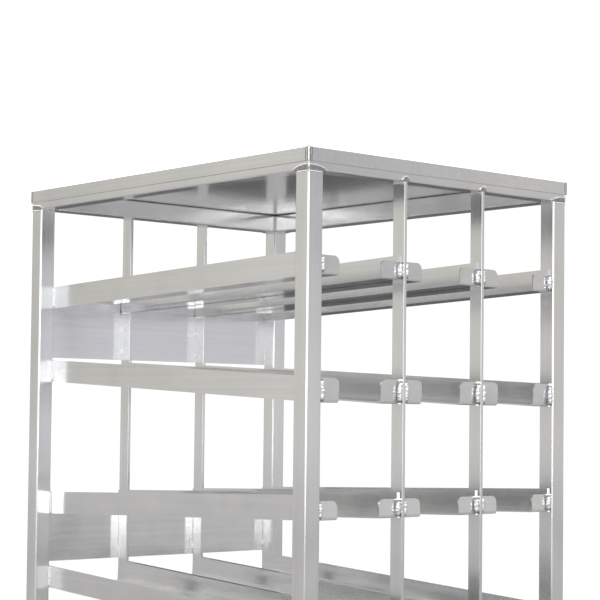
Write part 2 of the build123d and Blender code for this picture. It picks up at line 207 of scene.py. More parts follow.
def weld_metal():
    """Freshly laid bead: brighter and smoother than the mill finish, with a light frost."""
    material, nodes, coords = new_material("weld_bead")
    frost = nodes.noise(coords, scale=700.0, detail=3.0, rough=0.6)
    patches = nodes.noise(coords, scale=90.0, detail=2.0)
    colour = nodes.blend(nodes.spread(patches, 0.0, 1.0), (0.86, 0.86, 0.88), (0.95, 0.95, 0.95))
    normal = nodes.bump(frost, strength=0.15, distance=0.2 * MM)
    nodes.surface(colour, nodes.spread(frost, 0.14, 0.3), normal)
    return material


def weld_soot_and_painted_shade():
    """Dulled, dark metal between and beside the beads: partly weld soot, partly painted shade of the
    recesses and bead edges.
    """
    material, nodes, coords = new_material("weld_soot_and_painted_shade")
    soot = nodes.noise(coords, scale=160.0, detail=4.0, rough=0.6)
    colour = nodes.blend(nodes.spread(soot, 0.0, 1.0), (0.3, 0.3, 0.305), (0.52, 0.515, 0.51))
    normal = nodes.bump(soot, strength=0.3, distance=0.3 * MM)
    nodes.surface(colour, nodes.spread(soot, 0.55, 0.32), normal)
    return material


def zinc_steel():
    """Bright zinc plating over pressed steel, faintly mottled."""
    material, nodes, coords = new_material("zinc_plated_steel")
    mottle = nodes.noise(coords, scale=60.0, detail=5.0, rough=0.6)
    grain = nodes.noise(coords, scale=1500.0, detail=2.0)
    colour = nodes.blend(nodes.spread(mottle, 0.0, 1.0), (0.52, 0.54, 0.57), (0.66, 0.67, 0.68))
    normal = nodes.bump(grain, strength=0.12, distance=0.1 * MM)
    nodes.surface(colour, nodes.spread(mottle, 0.2, 0.36), normal)
    return material


def moulded(name, dark, light, low_rough, high_rough, grain_scale, grain_bump):
    """Moulded plastic or rubber: a fine grain with dusty patches."""
    material, nodes, coords = new_material(name)
    dust = nodes.noise(coords, scale=45.0, detail=4.0, rough=0.6)
    grain = nodes.noise(coords, scale=grain_scale, detail=3.0)
    colour = nodes.blend(nodes.spread(dust, 0.0, 1.0), dark, light)
    normal = nodes.bump(grain, strength=grain_bump, distance=0.2 * MM)
    nodes.surface(colour, nodes.spread(dust, low_rough, high_rough), normal, metallic=0.0)
    return material


SHEET_ROUGHNESS = 0.16
TUBE_ROUGHNESS = 0.17
WORKTOP_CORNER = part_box("worktop")[1]
SHEET = aluminium(
    "worktop_sheet", "Y", SHEET_ROUGHNESS,
    haze=0.018, welded_corners=(WORKTOP_CORNER.x, WORKTOP_CORNER.y),
)
TUBE = {axis: aluminium(f"tube_along_{axis}", axis, TUBE_ROUGHNESS) for axis in "XYZ"}
FLAT_BAR = aluminium("flat_bar", "Z", TUBE_ROUGHNESS)
RAIL = aluminium("rail_angle", "Y", TUBE_ROUGHNESS)
PLATE = aluminium("back_plate_sheet", "X", SHEET_ROUGHNESS)
WELD = weld_metal()
# Dark weld metal: partly soot, partly painted shade beside and under the beads.
SOOT_AND_SHADE = weld_soot_and_painted_shade()
ZINC = zinc_steel()
WHEEL_CORE = moulded(
    "wheel_core_plastic", (0.035, 0.036, 0.04), (0.06, 0.06, 0.063),
    low_rough=0.42, high_rough=0.58, grain_scale=900.0, grain_bump=0.2,
)
WHEEL_TREAD = moulded(
    "wheel_tread_rubber", (0.05, 0.05, 0.053), (0.09, 0.088, 0.085),
    low_rough=0.6, high_rough=0.8, grain_scale=1400.0, grain_bump=0.35,
)


# ---- finish of the carried-over nodes ----

def dress(node, material, edge=0.0, segments=2):
    """Give a carried-over node its material and, for cut edges, a small bevel."""
    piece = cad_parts[node]
    piece.data.materials.clear()
    piece.data.materials.append(material)
    if edge:
        bevel = piece.modifiers.new("edge", "BEVEL")
        bevel.width = edge
        bevel.segments = segments
        bevel.limit_method = "ANGLE"
        bevel.angle_limit = math.radians(35)
        bevel.use_clamp_overlap = False


def dress_nodes():
    """Give every carried-over node the finish that its name calls for."""
    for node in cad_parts:
        if node == "worktop":
            dress(node, SHEET, edge=0.3 * MM)
        elif node in ("top_frame_front", "top_frame_back", "base_tube_front", "base_tube_back"):
            dress(node, TUBE["X"])
        elif node in ("top_frame_left", "top_frame_right", "base_tube_left", "base_tube_right"):
            dress(node, TUBE["Y"])
        elif node.startswith("post_"):
            dress(node, TUBE["Z"])
        elif node.startswith("upright_"):
            dress(node, FLAT_BAR)
        elif node.startswith("track_"):
            dress(node, RAIL, edge=1.2 * MM, segments=4)
        elif node.startswith("back_plate_"):
            dress(node, PLATE, edge=0.4 * MM)
        elif node == "caster_mounting_plates":
            dress(node, TUBE["X"], edge=0.6 * MM)
        elif node.endswith(("_plate", "_fork", "_brake_pedal")):
            dress(node, ZINC, edge=0.7 * MM, segments=3)
        elif node.endswith("_hub"):
            dress(node, WHEEL_CORE, edge=0.8 * MM, segments=3)
        elif node.endswith("_tyre"):
            dress(node, WHEEL_TREAD)
        else:
            dress(node, ZINC, edge=0.3 * MM)


dress_nodes()


# ---- weld beads ----

# A bead is a tube of rings, about BEAD_STEP apart and with BEAD_SIDES corners each. It starts and
# stops BLUNT_END of the way along its taper. Ripples swell it by RIPPLE_SWELL of its radius.
BEAD_STEP = 0.7 * MM
BEAD_SIDES = 12
BLUNT_END = 0.25
RIPPLE_SWELL = 0.05
LUMP_LENGTH = 4 * MM


def path_frames(points):
    """Evenly spaced places along a run of straight lines, with the direction at each."""
    places = []
    for start, end in zip(points, points[1:]):
        span = end - start
        count = max(2, int(span.length / BEAD_STEP))
        places += [(start + span * (i / count), span.normalized()) for i in range(count)]
    places.append((points[-1], (points[-1] - points[-2]).normalized()))
    return places


def lay_bead(mesh, points, radius, up, depth=1.0, lens=0.0, lumps=0.06):
    """A rippled bead along the points; up is a direction that is never along the path.

    depth scales the bead square to both the path and up, lens narrows it towards its ends,
    and lumps is how uneven it is.
    """
    ripple = random.uniform(2.2, 2.8) * MM
    phase = random.uniform(0, math.tau)
    places = path_frames([Vector(p) for p in points])
    total = len(places) - 1
    travelled = 0.0
    previous = places[0][0]
    rings = []
    for index, (place, along) in enumerate(places):
        travelled += (place - previous).length
        previous = place
        side = along.cross(Vector(up)).normalized()
        top = side.cross(along)
        near_end = min(index, total - index) * BEAD_STEP / radius
        taper = math.sin(min(1.0, BLUNT_END + near_end) * math.pi / 2)
        taper *= 1.0 - lens + lens * math.sqrt(math.sin(math.pi * (index + 0.5) / (total + 1)))
        ring = []
        for k in range(BEAD_SIDES):
            angle = math.tau * k / BEAD_SIDES
            wave = math.sin(math.tau * travelled / ripple + phase + 0.9 * math.cos(angle))
            around = Vector((math.cos(angle), math.sin(angle), phase))
            uneven = noise.noise(around * 0.8 + Vector((0, 0, travelled / LUMP_LENGTH)))
            size = radius * taper * (1.0 + RIPPLE_SWELL * wave + lumps * uneven)
            offset = side * (size * depth * math.cos(angle)) + top * (size * math.sin(angle))
            ring.append(mesh.verts.new(place + offset))
        rings.append(ring)
    close_rings(mesh, rings)


def close_rings(mesh, rings):
    """Faces between neighbouring rings of equal length, and one over each end."""
    for first, second in zip(rings, rings[1:]):
        for k in range(len(first)):
            j = (k + 1) % len(first)
            mesh.faces.new((first[k], first[j], second[j], second[k]))
    mesh.faces.new(list(reversed(rings[0])))
    mesh.faces.new(rings[-1])


def finish_piece(mesh, name, body, material, smooth=True):
    """Turn a mesh into a named piece that rides its body and fills a material slot."""
    bmesh.ops.recalc_face_normals(mesh, faces=mesh.faces)
    data = bpy.data.meshes.new(name)
    mesh.to_mesh(data)
    mesh.free()
    for polygon in data.polygons:
        polygon.use_smooth = smooth
    data.materials.append(material)
    piece = bpy.data.objects.new(name, data)
    bpy.context.scene.collection.objects.link(piece)
    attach(piece, body)
    return piece


def lay_patch(mesh, upper, lower, normals, lift):
    """A thin closed patch between two equally long lines of points, standing off a face."""
    sink = 0.4 * MM
    rings = []
    for high, low, away in zip(upper, lower, normals):
        corners = (high + away * lift, low + away * lift, low - away * sink, high - away * sink)
        rings.append([mesh.verts.new(place) for place in corners])
    close_rings(mesh, rings)


ARCH_STEPS = 12


def weld_arch(bright, dark, start, end, outward, rise, foot):
    """A hooked bead on a flat face over a dark patch, partly weld soot and partly painted shade.

    start and end lie on the joint line, outward is the face's normal, rise is how far the bead's
    crown stands above its ends and foot is how far the ends stand above the line.
    """
    start, end, outward = Vector(start), Vector(end), Vector(outward)
    run = end - start
    flatness = 3.0
    arch, lower, normals = [], [], []
    for k in range(ARCH_STEPS + 1):
        share = k / ARCH_STEPS
        height = rise * (1 - abs(2 * share - 1) ** flatness) + foot
        arch.append(start + run * share + Vector((0, 0, height)) + outward * 0.7 * MM)
        lower.append(start + run * share)
        normals.append(outward)
    lay_bead(bright, arch, 1.6 * MM, outward, lumps=0.25)
    # The dark patch under the arch is painted shade of the recess, with some soot.
    lay_patch(dark, arch, lower, normals, 0.1 * MM)


def around_edge(first, second, reach, radius):
    """Places along one face beside a rounded upright edge, round it and along the other face.

    They are measured from the edge and come with their normals. first and second lead away from
    the edge along its faces, which meet square.
    """
    places = []
    for k in range(ARCH_STEPS + 1):
        places.append((first * (reach + (radius - reach) * k / ARCH_STEPS), -second))
    for k in (1, 2, 3):
        turn = math.radians(22.5 * k)
        away = -first * math.sin(turn) - second * math.cos(turn)
        places.append(((first + second + away) * radius, away))
    for k in range(ARCH_STEPS + 1):
        places.append((second * (radius + (reach - radius) * k / ARCH_STEPS), -first))
    return places


def weld_corner(bright, dark, edge, first, second, post, radius):
    """The joint round the outer edge of a post, under the worktop.

    A bright bead arches over the edge and comes down to the frame's underside on both faces, a
    straight one follows the post's end, and between them lies a dark patch of painted shade with
    some weld soot. first and second lead away from the edge along its two faces; radius is the
    post's corner radius.
    """
    reach, rise, drop = post + 8 * MM, 9 * MM, 2.6 * MM
    flatness, waver = 3.2, 0.25 * MM
    first, second = Vector(first), Vector(second)
    arch, straight, upper, lower, normals = [], [], [], [], []
    for place, away in around_edge(first, second, reach, radius):
        distance = max(abs(place.dot(first)), abs(place.dot(second)))
        height = rise * (1 - min(1.0, distance / reach) ** flatness)
        height += random.uniform(-waver, waver)
        on_post = distance < post - radius
        spot = Vector(edge) + place
        arch.append(spot + Vector((0, 0, height)) + away * 0.6 * MM)
        upper.append(spot + Vector((0, 0, height)))
        lower.append(spot + Vector((0, 0, -drop if on_post else -0.3 * MM)))
        normals.append(away)
        if on_post:
            straight.append(spot + Vector((0, 0, -drop)) + away * 0.4 * MM)
    # The dark patch is painted shade of the recess between the beads, with some weld soot.
    lay_patch(dark, upper, lower, normals, 0.35 * MM)
    lay_bead(bright, arch, 1.5 * MM, -(first + second), lumps=0.22)
    lay_bead(bright, straight, 1.4 * MM, UP, lumps=0.15)


def weld_post_tops():
    """Joints round the posts where they meet the frame under the worktop."""
    bright, dark = bmesh.new(), bmesh.new()
    radius = 3 * MM
    for corner in CORNERS:
        low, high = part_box(f"post_{corner}")
        left, front = corner.endswith("left"), corner.startswith("front")
        out_x, in_x, inward_x = (low.x, high.x, 1) if left else (high.x, low.x, -1)
        out_y, in_y, inward_y = (low.y, high.y, 1) if front else (high.y, low.y, -1)
        edge = (out_x, out_y, high.z)
        weld_corner(bright, dark, edge, (inward_x, 0, 0), (0, inward_y, 0), high.x - low.x, radius)
        level = high.z - 1.2 * MM
        y = in_y + inward_y * 0.6 * MM
        run = [(low.x + radius, y, level), (high.x - radius, y, level)]
        lay_bead(bright, run, 1.9 * MM, UP, lens=0.1, lumps=0.2)
        x = in_x + inward_x * 0.6 * MM
        run = [(x, low.y + radius, level), (x, high.y - radius, level)]
        lay_bead(bright, run, 1.9 * MM, UP, lens=0.1, lumps=0.2)
    finish_piece(bright, "welds_post_tops", RACK, WELD)
    # The dark pieces are painted shade of the recesses round the post tops, with some soot.
    finish_piece(dark, "welds_post_tops_soot_and_shade", RACK, SOOT_AND_SHADE, smooth=False)


def weld_uprights():
    """Joints at both ends of the four flat uprights."""
    bright, dark = bmesh.new(), bmesh.new()
    spare = 6.5 * MM
    for end in ("front", "back"):
        for divider in (1, 2):
            low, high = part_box(f"upright_{end}_{divider}")
            y, outward = (low.y, -1) if end == "front" else (high.y, 1)
            start, stop = (low.x - spare, y, high.z), (high.x + spare, y, high.z)
            weld_arch(bright, dark, start, stop, (0, outward, 0), rise=7.5 * MM, foot=1.5 * MM)
            for z, inset in ((high.z, -1.0 * MM), (low.z, 1.0 * MM)):
                for x in (low.x, high.x):
                    run = [(x, low.y + MM, z + inset), (x, high.y - MM, z + inset)]
                    lay_bead(bright, run, 2.0 * MM, UP, depth=0.9, lens=0.1, lumps=0.2)
            run = [(low.x, y, low.z), (high.x, y, low.z)]
            lay_bead(bright, run, 2.4 * MM, UP, depth=0.7, lens=0.3, lumps=0.2)
    finish_piece(bright, "welds_uprights", RACK, WELD)
    # The dark pieces are painted shade of the recesses under the arches, with some soot.
    finish_piece(dark, "welds_uprights_soot_and_shade", RACK, SOOT_AND_SHADE, smooth=False)


def upright_bead(mesh, x, y, foot, top, radius, up=ALONG_X, **shape):
    """A bead that runs straight up at x, y."""
    lay_bead(mesh, [(x, y, foot), (x, y, top)], radius, up, **shape)


def weld_top_frame():
    """Seams at the frame's four corners, inside and out."""
    mesh = bmesh.new()
    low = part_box("top_frame_front")[0]
    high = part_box("top_frame_back")[1]
    post_low, post_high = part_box("post_front_left")
    width = post_high.x - post_low.x
    for side in (-1, 1):
        for end in (-1, 1):
            outer_x, outer_y = side * (high.x - 1.8 * MM), end * (high.y - 1.8 * MM)
            inner_x, inner_y = side * (high.x - width - 0.8 * MM), end * (high.y - width - 0.8 * MM)
            upright_bead(mesh, outer_x, outer_y, low.z + 3 * MM, low.z + 20 * MM, 2.4 * MM)
            upright_bead(mesh, inner_x, inner_y, low.z + 2 * MM, high.z - 1 * MM, 2.8 * MM)
    finish_piece(mesh, "welds_top_frame", RACK, WELD)


def weld_worktop_corners():
    """The turned-down edges are welded together at the four corners and roughly dressed."""
    mesh = bmesh.new()
    low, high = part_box("worktop")
    inset = 2.45 * MM
    foot, top = low.z + 0.5 * MM, high.z - 2.2 * MM
    for x in (low.x + inset, high.x - inset):
        for y in (low.y + inset, high.y - inset):
            upright_bead(mesh, x, y, foot, top, 2.15 * MM, lumps=0.08)
    finish_piece(mesh, "welds_worktop_corners", RACK, WELD)


UPPER_SLOPE = math.tan(math.radians(-1.9))
LOWER_SLOPE = math.tan(math.radians(2.9))
UPPER_END_WELD = 33 * MM
LOWER_END_WELD = 42 * MM


def rails():
    """Each rail as: the x of the face it is welded to, its hand, the y of its front end, the height
    of its underside there, its slope, and how far up the weld at its front end goes."""
    found = []
    for level in (1, 2, 3, 4):
        upper = level % 2 == 1
        low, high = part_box(f"track_{level}_rail_left")
        bottom = high.z - RAIL_WALL if upper else low.z
        faces = [(low.x, 1), (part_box(f"track_{level}_rail_right")[1].x, -1)]
        for divider in (1, 2):
            bar_low, bar_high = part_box(f"upright_front_{divider}")
            faces += [(bar_high.x, 1), (bar_low.x, -1)]
        slope = UPPER_SLOPE if upper else LOWER_SLOPE
        end_weld = UPPER_END_WELD if upper else LOWER_END_WELD
        for x, hand in faces:
            found.append((x, hand, low.y, bottom, slope, end_weld))
    return found


def weld_rails():
    """A heavy weld at each rail's front end, and thin ones where it passes its posts or bars."""
    mesh, dark = bmesh.new(), bmesh.new()
    post_edges = (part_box("post_front_left")[1].y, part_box("post_back_left")[0].y)
    bar_edges = (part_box("upright_front_1")[1].y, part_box("upright_back_1")[0].y)
    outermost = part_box("post_back_left")[1].x
    for x, hand, front, bottom, slope, end_weld in rails():
        root = Vector((x + hand * 4.0 * MM, front - 2.2 * MM, bottom + 1.5 * MM))
        root_end = root + Vector((0, 0, end_weld - 2 * MM))
        # A wider dark bead under the bright one: weld soot and painted shade along the bead's edges.
        lay_bead(dark, [root, root_end], 5.0 * MM, ALONG_Y, lens=0.2, lumps=0.12)
        foot = root + Vector((0, -1.6 * MM, 3 * MM))
        length = end_weld - 7 * MM
        middle = foot + Vector((hand * random.uniform(0.3, 1.2) * MM, 0, length / 2))
        top = foot + Vector((-hand * 0.8 * MM, 0, length))
        lay_bead(mesh, [foot, middle, top], 4.9 * MM, ALONG_Y, lens=0.35, lumps=0.3)
        on_post = abs(x) >= abs(outermost) - MM
        for edge, off in zip(post_edges if on_post else bar_edges, (0.8 * MM, -0.8 * MM)):
            height = bottom + slope * (edge - front) + 2 * MM
            start = Vector((x - hand * 0.9 * MM, edge + off, height))
            kink = start + Vector((random.uniform(-0.5, 0.5) * MM, 0, RAIL_WALL / 2))
            end = start + Vector((0, 0, RAIL_WALL - 4 * MM))
            lay_bead(mesh, [start, kink, end], 2.3 * MM, ALONG_Y, lens=0.1, lumps=0.2)
    finish_piece(mesh, "welds_rails", RACK, WELD)
    finish_piece(dark, "welds_rails_soot_and_shade", RACK, SOOT_AND_SHADE)


def weld_base():
    """Beads where the base tubes meet the posts, and stitches down to the caster plates."""
    mesh = bmesh.new()
    post_low, post_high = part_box("post_front_right")
    tube_low, tube_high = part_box("base_tube_front")
    outer_x, outer_y = post_high.x, -post_low.y
    inner_x, inner_y = post_low.x, -post_high.y
    tube = tube_high.z - tube_low.z
    foot, top = tube_low.z, tube_high.z
    low_end, high_end = foot + 3 * MM, top - 3 * MM
    inset = 2.5 * MM
    seam, fillet = 2.2 * MM, 2.4 * MM
    stitch_starts, stitch = (3 * MM, 46 * MM), 26 * MM
    for side in (-1, 1):
        for end in (-1, 1):
            for depth in (0.6 * MM, tube - 0.6 * MM):
                y = end * (outer_y - depth)
                upright_bead(mesh, side * inner_x, y, low_end, high_end, seam)
                x = side * (outer_x - depth)
                upright_bead(mesh, x, end * inner_y, low_end, high_end, seam, up=ALONG_Y)
            near, far = end * (outer_y - inset), end * (outer_y - tube + inset)
            lay_bead(mesh, [(side * inner_x, near, top), (side * inner_x, far, top)], fillet, UP)
            near, far = side * (outer_x - inset), side * (outer_x - tube + inset)
            lay_bead(mesh, [(near, end * inner_y, top), (far, end * inner_y, top)], fillet, UP)
            for start in stitch_starts:
                near, far = inner_x - start, inner_x - start - stitch
                y = end * (outer_y - tube)
                lay_bead(mesh, [(side * near, y, foot), (side * far, y, foot)], fillet, UP)
                near, far = inner_y - start, inner_y - start - stitch
                x = side * (outer_x - tube)
                lay_bead(mesh, [(x, end * near, foot), (x, end * far, foot)], fillet, UP)
    finish_piece(mesh, "welds_base", RACK, WELD)


def weld_back_plates():
    """Short tacks along the posts and the back uprights."""
    mesh = bmesh.new()
    length = 14 * MM
    for number in (1, 2):
        low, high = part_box(f"back_plate_{number}")
        lines = [low.x, high.x]
        for divider in (1, 2):
            lines += [p.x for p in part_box(f"upright_back_{divider}")]
        for x in lines:
            for share in (0.08, 0.46, 0.84):
                z = low.z + (high.z - low.z) * share
                upright_bead(mesh, x, low.y - 0.4 * MM, z, z + length, 1.9 * MM, up=ALONG_Y)
    finish_piece(mesh, "welds_back_plates", RACK, WELD)


weld_post_tops()
weld_uprights()
weld_top_frame()
weld_worktop_corners()
weld_rails()
weld_base()
weld_back_plates()


# ---- wheels and brakes ----

def arc(centre, radius, start, end, steps=6):
    """Points of an arc in the section plane; angles in degrees from the axle direction."""
    points = []
    for k in range(steps + 1):
        angle = math.radians(start + (end - start) * k / steps)
        points.append((centre[0] + radius * math.cos(angle), centre[1] + radius * math.sin(angle)))
    return points


def mirrored(half):
    """A half section from the +x side, closed with its own mirror image."""
    return half + [(-x, r) for x, r in reversed(half)]


def spin(mesh, centre, outline, axis="X", segments=112):
    """Turn a closed outline of (along, radius) points, in millimetres, about a centre's axis."""
    rings = []
    for k in range(segments):
        angle = math.tau * k / segments
        ring = []
        for along, radius in outline:
            a, b = radius * math.cos(angle), radius * math.sin(angle)
            offset = Vector((along, a, b)) if axis == "X" else Vector((a, b, along))
            ring.append(mesh.verts.new(centre + offset * MM))
        rings.append(ring)
    for k in range(segments):
        first, second = rings[k], rings[(k + 1) % segments]
        for i in range(len(outline)):
            j = (i + 1) % len(outline)
            mesh.faces.new((first[i], first[j], second[j], second[i]))


def sharpen(piece, degrees=32):
    """Keep the real edges crisp where the faces are shaded smooth."""
    piece.data.set_sharp_from_angle(angle=math.radians(degrees))


def wheel_tyre(corner, centre):
    """Rubber tyre: a slightly crowned tread with a parting line, round shoulders, stepped sides."""
    half = [(0.5, 62.4), (0.9, 62.2), (6.0, 62.1)]
    half += arc((10.0, 56.0), 6.0, 80, 8, 9)
    half += [(16.0, 55.6), (15.9, 54.4), (15.2, 53.6), (15.2, 52.6), (14.6, 51.6), (13.9, 51.0)]
    mesh = bmesh.new()
    spin(mesh, centre, mirrored(half))
    piece = finish_piece(mesh, f"tyre_{corner}", f"{corner}_wheel", WHEEL_TREAD)
    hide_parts(f"caster_{corner}_tyre")
    sharpen(piece)


RIBS = 8
RIB_ENDS = ((12.5, 15.0), (45.5, 10.5))
RIB_FOOT = (3.5, 1.9)
RIB_CREST_HALF_WIDTH = 1.25


def add_rib(mesh, centre, angle, side):
    """A drafted rib from the boss to the rim, on one side of the web.

    RIB_ENDS has each end's radius and the crest's height there, and RIB_FOOT the foot's height
    and half width, all in millimetres; heights are from the wheel's middle.
    """
    radial = Vector((0, math.cos(angle), math.sin(angle)))
    across = Vector((0, -math.sin(angle), math.cos(angle)))
    corners = []
    for radius, crest in RIB_ENDS:
        for along, half_width in (RIB_FOOT, (crest, RIB_CREST_HALF_WIDTH)):
            for turn in (-1, 1):
                offset = Vector((side * along, 0, 0)) + radial * radius + across * (turn * half_width)
                corners.append(mesh.verts.new(centre + offset * MM))
    faces = ((0, 1, 3, 2), (4, 6, 7, 5), (0, 2, 6, 4), (1, 5, 7, 3), (2, 3, 7, 6), (0, 4, 5, 1))
    made = [mesh.faces.new([corners[i] for i in face]) for face in faces]
    edges = list({edge for face in made for edge in face.edges})
    bmesh.ops.bevel(mesh, geom=edges, offset=0.5 * MM, segments=2, affect="EDGES", profile=0.6)


def wheel_core(corner, centre):
    """Moulded core: rim, web and boss with eight ribs on each side."""
    half = [(20.0, 5.1), (20.0, 12.6)]
    half += arc((19.2, 12.9), 0.8, 0, 90, 3)
    half += [(8.0, 14.4)]
    half += arc((7.5, 17.4), 3.0, 270, 180, 5)
    half += arc((7.5, 40.4), 3.0, 180, 90, 5)
    half += [(12.9, 44.0)]
    half += arc((12.9, 45.1), 1.1, 270, 360, 3)
    half += [(14.0, 49.6)]
    half += arc((12.9, 49.85), 1.1, 0, 90, 3)
    mesh = bmesh.new()
    spin(mesh, centre, mirrored(half))
    for side in (-1, 1):
        for k in range(RIBS):
            add_rib(mesh, centre, math.tau * (k + 0.5) / RIBS, side)
    piece = finish_piece(mesh, f"wheel_core_{corner}", f"{corner}_wheel", WHEEL_CORE)
    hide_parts(f"caster_{corner}_hub")
    sharpen(piece)


def bearing_covers(corner, centre):
    """Thin bearing cover rings on both ends of the boss."""
    ring = [(20.0, 5.3), (20.75, 5.3), (20.75, 9.6), (20.55, 10.4), (20.0, 11.2)]
    mesh = bmesh.new()
    for side in (-1, 1):
        spin(mesh, centre, [(side * along, radius) for along, radius in ring], segments=64)
    sharpen(finish_piece(mesh, f"bearing_covers_{corner}", f"{corner}_wheel", ZINC))


RACE_GAP_DEPTH = 11.2 * MM


def race_seal(corner):
    """The dust lip round the gap between the two ball races."""
    low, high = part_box(f"caster_{corner}_plate")
    centre = Vector(((low.x + high.x) / 2, (low.y + high.y) / 2, high.z - RACE_GAP_DEPTH))
    mesh = bmesh.new()
    spin(mesh, centre, arc((0.0, 27.6), 1.0, 0, 330, 11), axis="Z", segments=80)
    finish_piece(mesh, f"race_seal_{corner}", f"{corner}_swivel", WHEEL_TREAD)


# Millimetres from the middle of the wheel to the outer face of a fork leg.
FORK_LEG_FACE = 24.5


def axle_end(corner, centre):
    """Washers on the fork's legs, a cap on the bolt's head, and the nut's collar and thread end."""
    collar = [
        (30.4, 0.2), (30.4, 7.2), (31.6, 6.6), (32.0, 5.6), (32.0, 4.4),
        (31.4, 4.2), (33.4, 3.9), (34.0, 3.3), (34.0, 0.2),
    ]
    cap = [(-30.4, 0.2), (-30.4, 7.4), (-31.1, 6.9), (-31.3, 4.0), (-31.3, 0.2)]
    washer = [(0.0, 8.0), (0.0, 11.3), (0.3, 11.8), (1.3, 11.8), (1.6, 11.3), (1.6, 8.0)]
    mesh = bmesh.new()
    spin(mesh, centre, collar, segments=48)
    spin(mesh, centre, cap, segments=48)
    for side in (-1, 1):
        outline = [(side * (FORK_LEG_FACE + along), radius) for along, radius in washer]
        spin(mesh, centre, outline, segments=64)
    sharpen(finish_piece(mesh, f"axle_washers_{corner}", f"{corner}_swivel", ZINC))


PEDAL_RISE = math.radians(18.0)
GRIPS = 5
GRIP_SPACING = 5.2
FIRST_GRIP = 5.0
GRIP_SINK = 0.9
GRIP_REACH = 15.5
FIRST_GRIP_REACH = 12.0


def pedal_tread(corner):
    """Grip ribs across the top of the brake pedal, the first one short; all in millimetres."""
    low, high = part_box(f"caster_{corner}_brake_pedal")
    along = Vector((0, math.cos(PEDAL_RISE), math.sin(PEDAL_RISE)))
    up = Vector((0, -math.sin(PEDAL_RISE), math.cos(PEDAL_RISE)))
    tip = Vector(((low.x + high.x) / 2, high.y, high.z))
    section = [(-1.5, -1.0), (-1.5, 0.9), (-0.9, 1.8), (0.9, 1.8), (1.5, 0.9), (1.5, -1.0)]
    mesh = bmesh.new()
    for number in range(GRIPS):
        middle = tip - along * (FIRST_GRIP + GRIP_SPACING * number) * MM - up * GRIP_SINK * MM
        reach = Vector(((GRIP_REACH if number else FIRST_GRIP_REACH) * MM, 0, 0))
        rings = []
        for place in (middle - reach, middle + reach):
            rings.append([mesh.verts.new(place + (along * a + up * b) * MM) for a, b in section])
        close_rings(mesh, rings)
    bmesh.ops.bevel(mesh, geom=list(mesh.edges), offset=0.25 * MM, segments=2, affect="EDGES")
    sharpen(finish_piece(mesh, f"pedal_grip_{corner}", f"{corner}_brake", WHEEL_TREAD))


def detail_casters():
    """New wheels for all four casters, their small parts, and the grips of the two brakes."""
    for corner in CORNERS:
        low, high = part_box(f"caster_{corner}_tyre")
        centre = (low + high) / 2
        wheel_tyre(corner, centre)
        wheel_core(corner, centre)
        bearing_covers(corner, centre)
        race_seal(corner)
        axle_end(corner, centre)
    for corner in ("front_left", "front_right"):
        pedal_tread(corner)


detail_casters()


# ---- studio ----

# What the metal reflects in each direction. A panel has a direction, the cosines of the angles
# where it is whole and where it has faded out, and a colour. Later ones lie over earlier ones.
WALL_PANELS = (
    ((-0.66, 0.75, 0.0), 0.9, 0.3, (0.64, 0.63, 0.59)),
    ((-0.35, 0.94, 0.0), 0.985, 0.94, (0.52, 0.51, 0.48)),
    ((0.56, -0.83, 0.1), 0.9, 0.3, (0.45, 0.45, 0.48)),
    ((0.62, -0.78, -0.25), 0.98, 0.93, (0.74, 0.74, 0.79)),
    ((0.85, -0.52, 0.0), 0.99, 0.93, (0.62, 0.60, 0.56)),
    ((0.35, -0.94, 0.0), 0.99, 0.95, (0.68, 0.68, 0.74)),
    ((0.62, 0.70, 0.36), 0.985, 0.955, (0.95, 0.95, 0.98)),
)
HIGH_PANELS = (
    ((-0.38, -0.44, 0.81), 0.87, 0.74, (1.4, 1.41, 1.44)),
    ((-0.2, 0.76, 0.62), 0.97, 0.925, (2.6, 2.6, 2.6)),
    ((0.65, -0.2, 0.73), 0.97, 0.925, (2.6, 2.6, 2.65)),
)
BEHIND_CAMERA = (-0.66, -0.75, 0.12)


